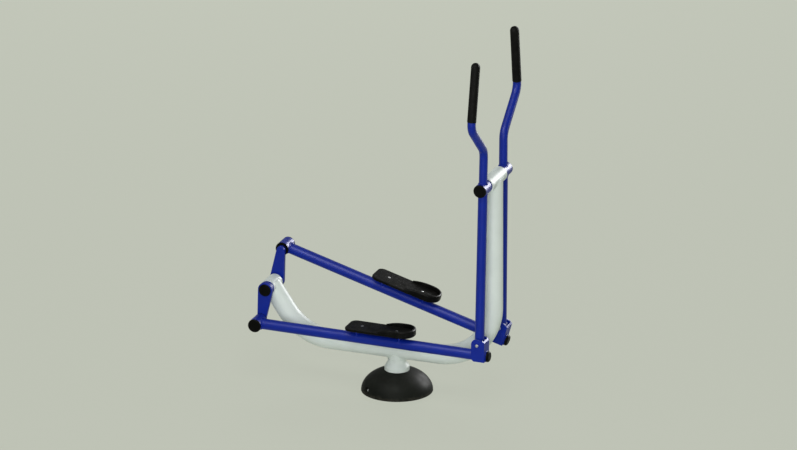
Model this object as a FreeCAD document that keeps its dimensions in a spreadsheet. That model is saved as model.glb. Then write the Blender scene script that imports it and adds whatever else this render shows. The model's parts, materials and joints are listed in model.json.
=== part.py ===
"""Outdoor elliptical cross trainer, built piece by piece as a parametric document.

Millimetres and degrees. The origin is on the ground, at the centre of the base.
+X points forward, to the handles, +Y to the user's left and +Z up.
"""
import FreeCAD, Part
import Sketcher
import math
import os
from types import SimpleNamespace

Vector = FreeCAD.Vector
Placement = FreeCAD.Placement
Rotation = FreeCAD.Rotation

SIZES = {
    # bent main tube, with the crank hub behind and the arm pivot in front
    "frame_tube_d": 88.9,
    "frame_tube_wall": 4.0,
    "frame_bend": 255.0,
    "rail_height": 196.0,
    "riser_slope": 55.5,
    "hub_back": 598.0,
    "hub_height": 416.0,
    "hub_tube_d": 70.0,
    "hub_half": 46.0,
    "pivot_ahead": 457.0,
    "pivot_height": 1055.0,
    "pivot_tube_d": 70.0,
    "pivot_tube_wall": 5.0,
    "pivot_half": 83.0,
    "pivot_disc": 10.0,
    "end_plate": 5.0,
    "weld_gap": 0.2,
    # pedestal and base
    "flange_d": 280.0,
    "flange_thick": 12.0,
    "anchor_circle": 220.0,
    "anchor_hole": 18.0,
    "post_d": 76.1,
    "post_wall": 4.0,
    "gusset_rise": 55.0,
    "gusset_inset": 18.0,
    "gusset_thick": 8.0,
    "cover_d": 320.0,
    "cover_rise": 104.0,
    "cover_wall": 4.0,
    "collar_d": 112.0,
    "collar_skirt": 17.0,
    "collar_flare": 22.0,
    "collar_rise": 52.0,
    "collar_neck_wall": 2.5,
    "collar_shoulder": 12.0,
    "lug_thick": 10.0,
    "lug_width": 30.0,
    "lug_rise": 26.0,
    "lug_turn": 50.0,
    "screw_height": 22.0,
    "screw_d": 6.0,
    "screw_head_d": 12.0,
    "screw_head": 5.0,
    "recess_d": 32.0,
    "recess_wall": 4.0,
    # bearings and shafts
    "shaft_d": 25.0,
    "running_fit": 0.05,
    "press_gap": 0.03,
    "hub_bearing_d": 52.0,
    "hub_bearing_width": 15.0,
    "hub_bearing_inset": 2.0,
    "boss_bearing_d": 47.0,
    "boss_bearing_width": 12.0,
    "boss_bearing_inset": 12.0,
    "side_gap": 1.0,
    "retainer_d": 34.0,
    "retainer_washer": 3.0,
    "retainer_bolt_d": 10.0,
    "retainer_bolt": 20.0,
    "retainer_flats": 17.0,
    "retainer_head": 6.0,
    # crank
    "crank_radius": 143.0,
    "crank_rest": 7.3,
    "crank_hub_r": 34.0,
    "crank_tip_r": 19.0,
    "crank_thick": 20.0,
    "crank_boss_d": 64.0,
    "crank_boss": 14.0,
    "crank_gap": 0.6,
    "crank_edge": 3.0,
    "crank_sink_d": 44.0,
    "crank_sink": 9.0,
    "crank_thread_d": 20.0,
    "crank_nut_flats": 30.0,
    "crank_nut": 8.0,
    "crank_cap_d": 56.0,
    "crank_cap_rise": 4.5,
    "crank_cap_edge": 3.0,
    "cap_wall": 3.0,
    "pin_gap": 0.3,
    "pin_head_d": 33.0,
    "pin_head": 5.0,
    # bosses shared by the swing arms and the pedal bars
    "side_plane": 123.5,
    "boss_d": 60.3,
    "boss_reach": 37.0,
    "boss_cap_rise": 7.0,
    "boss_cap_edge": 5.0,
    "boss_cap_spigot": 8.0,
    "seal_flange": 3.0,
    "seal_spigot": 6.0,
    "seal_room": 0.4,
    # swing arms and handles
    "arm_length": 735.0,
    "arm_tube_d": 42.4,
    "arm_tube_wall": 3.0,
    "lower_bush_d": 48.3,
    "liner_wall": 7.0,
    "handle_d": 38.0,
    "handle_wall": 2.5,
    "handle_bend": 70.0,
    "handle_straight": 179.0,
    "handle_spread": 164.5,
    "handle_elbow": 336.0,
    "handle_top": 641.0,
    "handle_tuck": 39.0,
    "grip_wall": 1.5,
    "grip_end": 21.0,
    "grip_round": 20.0,
    "grip_edge": 0.8,
    # pedal bars and forks
    "bar_length": 1056.0,
    "bar_d": 48.3,
    "bar_wall": 3.0,
    "bar_overhang": 38.0,
    "plug_d": 50.0,
    "plug_head": 12.0,
    "plug_round": 9.0,
    "plug_spigot": 20.0,
    "fork_rise": 56.0,
    "fork_room": 0.5,
    "fork_plate": 7.0,
    "fork_lobe": 28.6,
    "fork_lobe_round": 27.0,
    "fork_ahead": 27.5,
    "fork_web": 6.5,
    "fork_drop": 21.0,
    "fork_chamfer": 11.0,
    "fork_front_rise": 24.0,
    "fork_bevel": 10.0,
    "fork_edge": 1.2,
    "fork_bolt_d": 10.0,
    "fork_bolt_head_d": 15.0,
    "fork_bolt_head": 5.5,
    "fork_bolt_dome": 3.5,
    "fork_nut_flats": 16.0,
    "fork_nut": 10.0,
    "bush_side_room": 0.6,
    # pedals
    "pedal_start": 430.0,
    "pedal_length": 319.0,
    "pedal_width": 120.0,
    "pedal_top": 58.5,
    "pedal_thick": 14.0,
    "pedal_skin": 5.0,
    "pedal_rib": 5.0,
    "pedal_edge": 3.0,
    "heel_round": 28.0,
    "toe_length": 156.0,
    "toe_rise": 19.0,
    "toe_step": 5.0,
    "toe_ramp": 85.0,
    "toe_wall": 11.0,
    "toe_round": 57.0,
    "toe_rim_edge": 3.0,
    "toe_rim_round": 7.5,
    "sole_edge": 6.0,
    "saddle_start": 68.0,
    "saddle_pitch": 164.0,
    "saddle_back": 22.0,
    "saddle_tail": 15.0,
    "saddle_width": 44.0,
    "saddle_plate": 6.0,
    "pedal_bolt_d": 8.0,
    "pedal_bolt_head_d": 14.0,
    "pedal_bolt_head": 4.5,
    "pedal_bolt_dome": 2.0,
    "pedal_bolt_tail": 2.0,
    "pedal_nut_flats": 13.0,
    "pedal_nut": 6.5,
}
SIDES = (("left", 1), ("right", -1))
QUARTERS = 4
TOLERANCE = 0.01

doc = FreeCAD.newDocument("cross_trainer")
sheet = doc.addObject("Spreadsheet::Sheet", "sizes")
for row, (alias, number) in enumerate(SIZES.items(), 1):
    sheet.set("A%d" % row, alias)
    sheet.set("B%d" % row, str(number))
    sheet.setAlias("B%d" % row, alias)
doc.recompute()


class Dim:
    """A length, with the formula that ties it to the sheet."""

    def __init__(self, value, formula):
        self.value = value
        self.formula = formula

    def __add__(self, other):
        other = as_dim(other)
        return Dim(self.value + other.value, "(%s + %s)" % (self.formula, other.formula))

    def __sub__(self, other):
        other = as_dim(other)
        return Dim(self.value - other.value, "(%s - %s)" % (self.formula, other.formula))

    def __mul__(self, factor):
        return Dim(self.value * factor, "(%s * %s)" % (self.formula, factor))

    def __truediv__(self, divisor):
        return Dim(self.value / divisor, "(%s / %s)" % (self.formula, divisor))

    def __neg__(self):
        return self * -1


def as_dim(number):
    if isinstance(number, Dim):
        return number
    return Dim(float(number), str(float(number)))


size = SimpleNamespace(**{name: Dim(float(sheet.get(name)), "sizes." + name) for name in SIZES})
nodes = []


# Drawing helpers


def bind(target, path, amount):
    target.setExpression(path, as_dim(amount).formula)


def keep(piece):
    nodes.append(piece)
    return piece


def new_body(label):
    body = doc.addObject("PartDesign::Body", label)
    body.Label = label
    return body


def origin_item(body, role):
    return next(feature for feature in body.Origin.OriginFeatures if feature.Role == role)


def new_sketch(body, role, offset=0):
    sketch = body.newObject("Sketcher::SketchObject", body.Name + "_sketch")
    sketch.AttachmentSupport = [(origin_item(body, role), "")]
    sketch.MapMode = "FlatFace"
    bind(sketch, "AttachmentOffset.Base.z", offset)
    return sketch


def measure(sketch, kind, references, amount):
    index = sketch.addConstraint(Sketcher.Constraint(kind, *references, amount.value))
    sketch.setExpression("Constraints[%d]" % index, amount.formula)


def pin_point(sketch, geometry, point, x, y):
    """Hold a point of the sketch at x, y; a zero puts it on the axis."""
    for kind, amount, axis in (("DistanceX", x, -2), ("DistanceY", y, -1)):
        if amount.value == 0:
            sketch.addConstraint(Sketcher.Constraint("PointOnObject", geometry, point, axis))
        else:
            measure(sketch, kind, (-1, 1, geometry, point), amount)


def draw_lines(sketch, corners):
    spans = zip(corners[:-1], corners[1:])
    lines = []
    for (from_x, from_y), (to_x, to_y) in spans:
        ends = Vector(from_x.value, from_y.value, 0), Vector(to_x.value, to_y.value, 0)
        lines.append(sketch.addGeometry(Part.LineSegment(*ends)))
    for first, second in zip(lines[:-1], lines[1:]):
        sketch.addConstraint(Sketcher.Constraint("Coincident", first, 2, second, 1))
    for line, (x, y) in zip(lines, corners):
        pin_point(sketch, line, 1, x, y)
    return lines


def outline(sketch, corners):
    """A closed outline through corners, each tied to the sheet."""
    corners = [(as_dim(x), as_dim(y)) for x, y in corners]
    lines = draw_lines(sketch, corners + corners[:1])
    sketch.addConstraint(Sketcher.Constraint("Coincident", lines[-1], 2, lines[0], 1))


def bent_line(sketch, corners, bend):
    """An open line through corners, with every bend at the same radius."""
    corners = [(as_dim(x), as_dim(y)) for x, y in corners]
    lines = draw_lines(sketch, corners)
    pin_point(sketch, lines[-1], 2, *corners[-1])
    points = [Vector(x.value, y.value, 0) for x, y in corners]
    for index, corner in enumerate(points[1:-1]):
        before = (points[index] + corner) / 2
        after = (points[index + 2] + corner) / 2
        sketch.fillet(lines[index], lines[index + 1], before, after, bend.value, True, True)
    for index, shape in enumerate(sketch.Geometry):
        if isinstance(shape, Part.ArcOfCircle):
            measure(sketch, "Radius", (index,), bend)


def circle(sketch, radius, x=0, y=0):
    x, y, radius = as_dim(x), as_dim(y), as_dim(radius)
    shape = Part.Circle(Vector(x.value, y.value, 0), Vector(0, 0, 1), radius.value)
    index = sketch.addGeometry(shape)
    pin_point(sketch, index, 3, x, y)
    measure(sketch, "Radius", (index,), radius)


def add_feature(body, kind, base=None):
    feature = body.newObject("PartDesign::" + kind, body.Name + "_" + kind)
    if base is not None:
        feature.Profile = base
    return feature


def pad(body, sketch, length, flip=False):
    feature = add_feature(body, "Pad", sketch)
    bind(feature, "Length", length)
    feature.Reversed = flip
    doc.recompute()
    return feature


def pocket(body, sketch, depth, flip=False):
    before = body.Shape.Volume
    feature = add_feature(body, "Pocket", sketch)
    bind(feature, "Length", depth)
    feature.Reversed = flip
    doc.recompute()
    if body.Shape.Volume >= before:
        raise RuntimeError("%s: a pocket cuts nothing" % body.Label)
    return feature


def drill(body, role, radius, x=0, y=0, start=0, length=0):
    """Cut a cylinder square to an origin plane, from start onwards."""
    before = body.Shape.Volume
    feature = add_feature(body, "SubtractiveCylinder")
    feature.AttachmentSupport = [(origin_item(body, role), "")]
    feature.MapMode = "FlatFace"
    bind(feature, "Radius", radius)
    bind(feature, "Height", length)
    for axis, amount in (("x", x), ("y", y), ("z", start)):
        bind(feature, "AttachmentOffset.Base." + axis, amount)
    doc.recompute()
    if body.Shape.Volume >= before:
        raise RuntimeError("%s: a hole cuts nothing" % body.Label)
    return feature


def dress(body, kind, amount, wanted):
    """Fillet or chamfer the edges that wanted picks."""
    edges = enumerate(body.Tip.Shape.Edges, 1)
    names = ["Edge%d" % number for number, edge in edges if wanted(edge)]
    if not names:
        raise RuntimeError("%s: no edge to %s" % (body.Label, kind))
    base = body.Tip
    feature = add_feature(body, kind)
    feature.Base = (base, names)
    bind(feature, "Radius" if kind == "Fillet" else "Size", amount)
    doc.recompute()


def rim(radius, height):
    """Picks the circular edge of that radius at that height."""
    radius, height = as_dim(radius).value, as_dim(height).value

    def wanted(edge):
        if not isinstance(edge.Curve, Part.Circle):
            return False
        box = edge.BoundBox
        same_height = abs(box.ZMin - height) + abs(box.ZMax - height) < TOLERANCE
        return same_height and abs(edge.Curve.Radius - radius) < TOLERANCE
    return wanted


def crosswise_at(x, z):
    """Picks the edges that run across the piece at that distance and height."""
    x, z = as_dim(x).value, as_dim(z).value

    def wanted(edge):
        box = edge.BoundBox
        runs_across = box.XLength + box.ZLength < TOLERANCE
        return runs_across and abs(box.XMin - x) + abs(box.ZMin - z) < TOLERANCE
    return wanted


def turned(label, corners):
    """A piece turned about its own Z, from an outline in radius and height."""
    body = new_body(label)
    sketch = new_sketch(body, "XZ_Plane")
    outline(sketch, corners)
    feature = add_feature(body, "Revolution", sketch)
    feature.ReferenceAxis = (sketch, ["V_Axis"])
    feature.Angle = 360
    doc.recompute()
    return body


def ring(label, outer, inner, low, high):
    return turned(label, [(inner, low), (outer, low), (outer, high), (inner, high)])


def hexagon(sketch, flats):
    half = flats / 2
    corner = flats / math.sqrt(3)
    outline(sketch, [(corner, 0), (corner / 2, half), (-corner / 2, half),
                     (-corner, 0), (-corner / 2, -half), (corner / 2, -half)])


def bent_tube(label, role, corners, bend, outer, wall, start_x, start_height):
    """A tube swept along a bent line that starts upright at start_x, start_height."""
    body = new_body(label)
    spine = new_sketch(body, role)
    bent_line(spine, corners, bend)
    profile = new_sketch(body, "XY_Plane", start_height)
    bind(profile, "AttachmentOffset.Base.x", start_x)
    circle(profile, outer / 2)
    circle(profile, outer / 2 - wall)
    doc.recompute()
    pipe = add_feature(body, "AdditivePipe", profile)
    pipe.Spine = spine
    doc.recompute()
    return body


def group(label, pieces):
    """Separate solids that share one node."""
    compound = doc.addObject("Part::Compound", label)
    compound.Label = label
    compound.Links = pieces
    return keep(compound)


def mirror(piece):
    twin = doc.addObject("Part::Mirroring", piece.Name + "_twin")
    twin.Source = piece
    twin.Normal = Vector(0, 1, 0)
    return twin


# Places at rest


def frame_of(origin, x_axis, z_axis):
    return Placement(origin, Rotation(x_axis, z_axis.cross(x_axis), z_axis, "ZXY"))


def lateral(x, z, side, x_axis=Vector(1, 0, 0)):
    """A frame on the centre plane whose Z points outwards on that side."""
    return frame_of(Vector(x, 0, z), x_axis, Vector(0, side, 0))


HUB = Vector(-size.hub_back.value, 0, size.hub_height.value)
TOP_PIVOT = Vector(size.pivot_ahead.value, 0, size.pivot_height.value)


def crank_direction(side):
    angle = math.radians(size.crank_rest.value)
    return Vector(math.sin(angle), 0, math.cos(angle)) * side


def rest_pose(side):
    """The crank pin and the fork pivot of one side, with the lines of bar and arm.

    The fork pivot is where the circle round the crank pin meets the circle
    round the top pivot, on the lower side.
    """
    pin = HUB + crank_direction(side) * size.crank_radius.value
    rise_angle = math.atan2(size.fork_rise.value, size.bar_length.value)
    link = math.hypot(size.fork_rise.value, size.bar_length.value)
    span = TOP_PIVOT - pin
    reach = (link ** 2 - size.arm_length.value ** 2 + span.Length ** 2) / (2 * span.Length)
    offset = math.sqrt(link ** 2 - reach ** 2)
    along = span.normalize()
    fork = pin + along * reach + Vector(along.z, 0, -along.x) * offset
    tilt = math.atan2(fork.z - pin.z, fork.x - pin.x) - rise_angle
    lean = math.atan2(fork.x - TOP_PIVOT.x, TOP_PIVOT.z - fork.z)
    return SimpleNamespace(pin=pin, fork=fork, tilt=tilt, lean=lean)


def bar_frame(side, along=0, up=0):
    """The frame of a pedal bar: X along the bar from the crank pin, Z square to it."""
    pose = rest_pose(side)
    x_axis = Vector(math.cos(pose.tilt), 0, math.sin(pose.tilt))
    z_axis = Vector(-math.sin(pose.tilt), 0, math.cos(pose.tilt))
    origin = pose.pin + Vector(0, side * size.side_plane.value, 0)
    return frame_of(origin + x_axis * along + z_axis * up, x_axis, z_axis)


def arm_frame(side):
    """The frame of a swing arm: Z up along the arm from the top pivot, Y outwards."""
    lean = rest_pose(side).lean
    z_axis = Vector(-math.sin(lean), 0, math.cos(lean))
    x_axis = Vector(0, side, 0).cross(z_axis)
    return frame_of(TOP_PIVOT + Vector(0, side * size.side_plane.value, 0), x_axis, z_axis)


# Bosses: where they start and end, as distances from the centre plane

crank_boss_inner = size.hub_half + size.crank_gap
crank_inner = crank_boss_inner + size.crank_boss
crank_outer = crank_inner + size.crank_thick
boss_outer = size.side_plane + size.boss_reach
arm_boss_inner = size.pivot_half + size.side_gap
bar_boss_inner = crank_outer + size.side_gap
outer_bearing_end = boss_outer - size.boss_bearing_inset
shaft_r = size.shaft_d / 2
boss_bore = size.boss_bearing_d / 2 + size.press_gap
boss_r = size.boss_d / 2


# Main frame


def main_tube():
    rise = size.hub_height - size.rail_height
    slope = math.radians(size.riser_slope.value)
    elbow = Dim(rise.value / math.tan(slope) - size.hub_back.value,
                "(%s / tan(sizes.riser_slope * 1deg) - sizes.hub_back)" % rise.formula)
    corners = [(size.pivot_ahead, size.pivot_height), (size.pivot_ahead, size.rail_height),
               (elbow, size.rail_height), (-size.hub_back, size.hub_height)]
    body = bent_tube("main_tube", "XZ_Plane", corners, size.frame_bend, size.frame_tube_d,
                     size.frame_tube_wall, size.pivot_ahead, size.pivot_height)
    drill(body, "XZ_Plane", size.hub_tube_d / 2 + size.weld_gap, -size.hub_back, size.hub_height,
          -size.frame_tube_d, size.frame_tube_d * 2)
    drill(body, "XZ_Plane", size.pivot_tube_d / 2 + size.weld_gap, size.pivot_ahead,
          size.pivot_height, -size.frame_tube_d, size.frame_tube_d * 2)
    return keep(body)


def end_plate(label, cross_d, origin, direction):
    """A plate on the open end of the main tube, cut away round the cross tube."""
    body = new_body(label)
    sketch = new_sketch(body, "XY_Plane")
    circle(sketch, size.frame_tube_d / 2)
    pad(body, sketch, size.end_plate)
    drill(body, "XZ_Plane", cross_d / 2 + size.weld_gap, 0, 0,
          -size.frame_tube_d, size.frame_tube_d * 2)
    body.Placement = frame_of(origin, Vector(0, 1, 0).cross(direction), direction)
    return body


def cross_tube(label, outer, bore_r, half, centre):
    body = ring(label, outer / 2, bore_r, -half, half)
    body.Placement = lateral(centre.x, centre.z, 1)
    return keep(body)


def frame_tubes():
    main_tube()
    slope = math.radians(size.riser_slope.value)
    up_riser = Vector(-math.cos(slope), 0, math.sin(slope))
    group("end_plates", [end_plate("riser_plate", size.hub_tube_d, HUB, up_riser),
                         end_plate("column_plate", size.pivot_tube_d, TOP_PIVOT, Vector(0, 0, 1))])
    cross_tube("hub_tube", size.hub_tube_d, size.hub_bearing_d / 2 + size.press_gap,
               size.hub_half, HUB)
    cross_tube("pivot_tube", size.pivot_tube_d, size.pivot_tube_d / 2 - size.pivot_tube_wall,
               size.pivot_half, TOP_PIVOT)


def pivot_shaft():
    """The fixed shaft that carries both arms, with its discs and end bolts."""
    thread_start = outer_bearing_end - size.retainer_bolt
    bolt_hole = size.retainer_bolt_d / 2
    end = outer_bearing_end
    shaft = turned("pivot_shaft", [
        (0, -thread_start), (bolt_hole, -thread_start), (bolt_hole, -end), (shaft_r, -end),
        (shaft_r, end), (bolt_hole, end), (bolt_hole, thread_start), (0, thread_start)])
    shaft.Placement = lateral(TOP_PIVOT.x, TOP_PIVOT.z, 1)
    keep(shaft)

    disc = ring("pivot_disc", size.pivot_tube_d / 2 - size.pivot_tube_wall - size.press_gap,
                shaft_r + size.press_gap, size.pivot_half - size.pivot_disc, size.pivot_half)
    disc.Placement = lateral(TOP_PIVOT.x, TOP_PIVOT.z, 1)
    group("pivot_discs", [disc, mirror(disc)])

    retainer = new_body("retainer")
    shank = new_sketch(retainer, "XY_Plane", thread_start + size.press_gap)
    circle(shank, bolt_hole - size.press_gap)
    pad(retainer, shank, size.retainer_bolt)
    washer = new_sketch(retainer, "XY_Plane", end)
    circle(washer, size.retainer_d / 2)
    pad(retainer, washer, size.retainer_washer)
    head = new_sketch(retainer, "XY_Plane", end + size.retainer_washer)
    hexagon(head, size.retainer_flats)
    pad(retainer, head, size.retainer_head)
    retainer.Placement = lateral(TOP_PIVOT.x, TOP_PIVOT.z, 1)
    group("shaft_retainers", [retainer, mirror(retainer)])


def hub_bearings():
    high = size.hub_half - size.hub_bearing_inset
    bearing = ring("hub_bearing", size.hub_bearing_d / 2, shaft_r + size.running_fit,
                   high - size.hub_bearing_width, high)
    bearing.Placement = lateral(HUB.x, HUB.z, 1)
    group("hub_bearings", [bearing, mirror(bearing)])


# Pedestal and base


def pedestal_post():
    body = new_body("pedestal_post")
    sketch = new_sketch(body, "XY_Plane", size.flange_thick)
    circle(sketch, size.post_d / 2)
    circle(sketch, size.post_d / 2 - size.post_wall)
    pad(body, sketch, size.rail_height - size.flange_thick)
    drill(body, "YZ_Plane", size.frame_tube_d / 2 + size.weld_gap, 0, size.rail_height,
          -size.post_d, size.post_d * 2)
    keep(body)


def cover_land():
    """The height of the flat that the collar stands on, on top of the domed cover."""
    share = size.collar_d.value / size.cover_d.value
    value = size.cover_rise.value * math.sqrt(1 - share ** 2)
    return Dim(value, "(sizes.cover_rise * sqrt(1 - (sizes.collar_d / sizes.cover_d) ^ 2))")


def pedestal_collar():
    """The bell-shaped collar between the cover and the rail."""
    bore = size.post_d / 2 + size.weld_gap
    neck = bore + size.collar_neck_wall
    skirt = size.collar_d / 2
    land = cover_land()
    shoulder = land + size.collar_skirt
    flare_top = shoulder + size.collar_flare
    body = turned("pedestal_collar", [
        (bore, land), (skirt, land), (skirt, shoulder), (neck, flare_top),
        (neck, land + size.collar_rise), (bore, land + size.collar_rise)])
    dress(body, "Fillet", size.collar_shoulder, rim(skirt, shoulder))
    dress(body, "Fillet", size.collar_shoulder * 2, rim(neck, flare_top))
    drill(body, "YZ_Plane", size.frame_tube_d / 2 + size.weld_gap, 0, size.rail_height,
          -size.post_d, size.post_d * 2)
    keep(body)


def lug_face():
    """How far from the centre the lugs' outer faces stand."""
    return size.flange_d / 2 - size.weld_gap


def lug_turns():
    """The directions of the two lugs, opposite each other and between the anchor holes."""
    return size.lug_turn.value, size.lug_turn.value + 180


def base_flange():
    body = new_body("base_flange")
    sketch = new_sketch(body, "XY_Plane")
    circle(sketch, size.flange_d / 2)
    pad(body, sketch, size.flange_thick)
    hole = new_sketch(body, "XY_Plane", size.flange_thick)
    reach = size.anchor_circle / 2
    circle(hole, size.anchor_hole / 2, reach)
    bolt_hole = pocket(body, hole, size.flange_thick)
    holes = add_feature(body, "PolarPattern")
    holes.Originals = [bolt_hole]
    holes.Axis = (hole, ["N_Axis"])
    holes.Angle = 360
    holes.Occurrences = QUARTERS
    body.Tip = holes
    doc.recompute()

    half = size.lug_width / 2
    for turn in lug_turns():
        lug = new_sketch(body, "XY_Plane", size.flange_thick)
        lug.AttachmentOffset = Placement(Vector(), Rotation(Vector(0, 0, 1), turn))
        bind(lug, "AttachmentOffset.Base.z", size.flange_thick)
        outline(lug, [(lug_face() - size.lug_thick, -half), (lug_face(), -half),
                      (lug_face(), half), (lug_face() - size.lug_thick, half)])
        pad(body, lug, size.lug_rise)
        screw = add_feature(body, "SubtractiveCylinder")
        axis = Rotation(Vector(0, 0, 1), turn) * Rotation(Vector(0, 1, 0), 90)
        screw.Placement = Placement(Vector(0, 0, size.screw_height.value), axis)
        bind(screw, "Radius", size.screw_d / 2)
        bind(screw, "Height", size.flange_d)
        bind(screw, "Placement.Base.z", size.screw_height)
        doc.recompute()
    keep(body)


def base_gussets():
    body = new_body("base_gussets")
    sketch = new_sketch(body, "XZ_Plane", -size.gusset_thick / 2)
    inner = size.post_d / 2 + size.weld_gap
    outer = size.flange_d / 2 - size.gusset_inset
    low = size.flange_thick
    outline(sketch, [(inner, low), (outer, low), (outer, low + size.gusset_inset / 2),
                     (inner + size.gusset_inset / 2, low + size.gusset_rise),
                     (inner, low + size.gusset_rise)])
    rib = pad(body, sketch, size.gusset_thick)
    ribs = add_feature(body, "PolarPattern")
    ribs.Originals = [rib]
    ribs.Axis = (origin_item(body, "Z_Axis"), [""])
    ribs.Angle = 360
    ribs.Occurrences = QUARTERS
    body.Tip = ribs
    doc.recompute()
    body.Placement = Placement(Vector(), Rotation(Vector(0, 0, 1), size.lug_turn.value))
    keep(body)


def primitive(kind, label, **sizes):
    shape = doc.addObject("Part::" + kind, label)
    for name, amount in sizes.items():
        bind(shape, name, amount)
    return shape


def half_dome(label, inset):
    dome = primitive("Ellipsoid", label, Radius1=size.cover_rise - inset,
                     Radius2=size.cover_d / 2 - inset, Radius3=size.cover_d / 2 - inset)
    dome.Angle1 = 0
    dome.Angle2 = 90
    dome.Angle3 = 360
    return dome


def radial(shape, turn, start):
    """Lay a cylinder along the cover's radius at the screws' height."""
    direction = Rotation(Vector(0, 0, 1), turn)
    base = direction.multVec(Vector(start.value, 0, size.screw_height.value))
    shape.Placement = Placement(base, direction * Rotation(Vector(0, 1, 0), 90))
    return shape


def boolean(kind, label, base, tool):
    result = doc.addObject("Part::" + kind, label)
    result.Base = base
    result.Tool = tool
    return result


def base_cover():
    """The domed cover: a shell, with two screw cups that reach in to the flange's lugs."""
    cup_floor = lug_face() + size.weld_gap
    recess_floor = cup_floor + size.recess_wall
    cup_r = size.recess_d / 2 + size.cover_wall
    cavity = half_dome("cover_cavity", size.cover_wall)
    cuts = []
    for turn in lug_turns():
        cup = primitive("Cylinder", "cover_cup_%d" % turn, Radius=cup_r, Height=size.cover_d / 2)
        radial(cup, turn, cup_floor)
        cavity = boolean("Cut", "cover_cavity_%d" % turn, cavity, cup)
        recess = primitive("Cylinder", "cover_recess_%d" % turn, Radius=size.recess_d / 2,
                           Height=size.cover_d / 2)
        cuts.append(radial(recess, turn, recess_floor))
        hole = primitive("Cylinder", "cover_hole_%d" % turn,
                         Radius=size.screw_d / 2 + size.press_gap, Height=size.cover_d / 2)
        cuts.append(radial(hole, turn, cup_floor - size.cover_wall))
    shell = boolean("Cut", "cover_shell", half_dome("cover_dome", 0), cavity)
    cuts.append(primitive("Cylinder", "cover_post_hole", Radius=size.post_d / 2 + size.weld_gap,
                          Height=size.cover_rise))
    above = primitive("Cylinder", "cover_top", Radius=size.cover_d / 2, Height=size.cover_rise)
    bind(above, "Placement.Base.z", cover_land())
    cuts.append(above)
    tools = doc.addObject("Part::MultiFuse", "cover_cuts")
    tools.Shapes = cuts
    keep(boolean("Cut", "base_cover", shell, tools))

    screws = []
    for turn in lug_turns():
        tip = lug_face() - size.lug_thick
        seat = recess_floor
        shank_r = size.screw_d / 2 - size.press_gap
        head_r = size.screw_head_d / 2
        screw = turned("cover_screw_%d" % turn, [
            (0, tip), (shank_r, tip), (shank_r, seat), (head_r, seat),
            (head_r, seat + size.screw_head), (0, seat + size.screw_head)])
        radial(screw, turn, as_dim(0))
        screws.append(screw)
    group("cover_screws", screws)


# Crank


def crank_shaft():
    sink_floor = crank_outer - size.crank_sink
    thread_r = size.crank_thread_d / 2
    end = sink_floor + size.crank_nut
    body = turned("crank_shaft", [
        (0, -end), (thread_r, -end), (thread_r, -crank_boss_inner), (shaft_r, -crank_boss_inner),
        (shaft_r, crank_boss_inner), (thread_r, crank_boss_inner), (thread_r, end), (0, end)])
    body.Placement = lateral(HUB.x, HUB.z, 1)
    keep(body)


def crank_arm_outline(sketch):
    """Hub and tip rounds joined by two straight flanks."""
    length, hub_r, tip_r = size.crank_radius.value, size.crank_hub_r.value, size.crank_tip_r.value
    turn = math.acos((hub_r - tip_r) / length)
    touch = Vector(math.cos(turn), math.sin(turn), 0)
    below = Vector(touch.x, -touch.y, 0)
    up = Vector(0, 0, 1)
    tip = Vector(length, 0, 0)
    shapes = [
        Part.ArcOfCircle(Part.Circle(Vector(), up, hub_r), turn, 2 * math.pi - turn),
        Part.LineSegment(below * hub_r, tip + below * tip_r),
        Part.ArcOfCircle(Part.Circle(tip, up, tip_r), -turn, turn),
        Part.LineSegment(tip + touch * tip_r, touch * hub_r),
    ]
    hub, lower, end, upper = [sketch.addGeometry(shape) for shape in shapes]
    for first, second in ((hub, lower), (lower, end), (end, upper), (upper, hub)):
        sketch.addConstraint(Sketcher.Constraint("Tangent", first, 2, second, 1))
    pin_point(sketch, hub, 3, as_dim(0), as_dim(0))
    pin_point(sketch, end, 3, size.crank_radius, as_dim(0))
    for arc, amount in ((hub, size.crank_hub_r), (end, size.crank_tip_r)):
        measure(sketch, "Radius", (arc,), amount)


def crank_arm(name, side):
    body = new_body(name + "_crank_arm")
    sketch = new_sketch(body, "XY_Plane", crank_inner)
    crank_arm_outline(sketch)
    pad(body, sketch, size.crank_thick)
    flat_faces = crank_inner.value, crank_outer.value

    def on_flat_face(edge):
        box = edge.BoundBox
        nearest = min(abs(box.ZMin - face) for face in flat_faces)
        return box.ZLength < TOLERANCE and nearest < TOLERANCE
    dress(body, "Fillet", size.crank_edge, on_flat_face)
    hub_boss = new_sketch(body, "XY_Plane", crank_boss_inner)
    circle(hub_boss, size.crank_boss_d / 2)
    pad(body, hub_boss, size.crank_boss + size.crank_edge)
    thread_r = size.crank_thread_d / 2 + size.press_gap
    for x in (as_dim(0), size.crank_radius):
        drill(body, "XY_Plane", thread_r, x, 0, size.hub_half, crank_outer)
    drill(body, "XY_Plane", size.crank_sink_d / 2, 0, 0, crank_outer - size.crank_sink,
          size.crank_thick)
    body.Placement = lateral(HUB.x, HUB.z, side, crank_direction(side))
    keep(body)


def crank_cap():
    spigot_r = size.crank_sink_d / 2 - size.press_gap
    spigot_end = crank_outer - size.crank_sink / 2
    top = crank_outer + size.crank_cap_rise
    inside = crank_outer + size.crank_cap_rise / 3
    body = turned("crank_cap", [
        (spigot_r - size.cap_wall, spigot_end), (spigot_r, spigot_end), (spigot_r, crank_outer),
        (size.crank_cap_d / 2, crank_outer), (size.crank_cap_d / 2, top), (0, top),
        (0, inside), (spigot_r - size.cap_wall, inside)])
    dress(body, "Fillet", size.crank_cap_edge, rim(size.crank_cap_d / 2, top))
    body.Placement = lateral(HUB.x, HUB.z, 1)
    group("crank_caps", [body, mirror(body)])


def hex_nut(label, flats, bore_r, low, thick):
    body = new_body(label)
    sketch = new_sketch(body, "XY_Plane", low)
    hexagon(sketch, flats)
    circle(sketch, bore_r)
    pad(body, sketch, thick)
    return body


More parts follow.
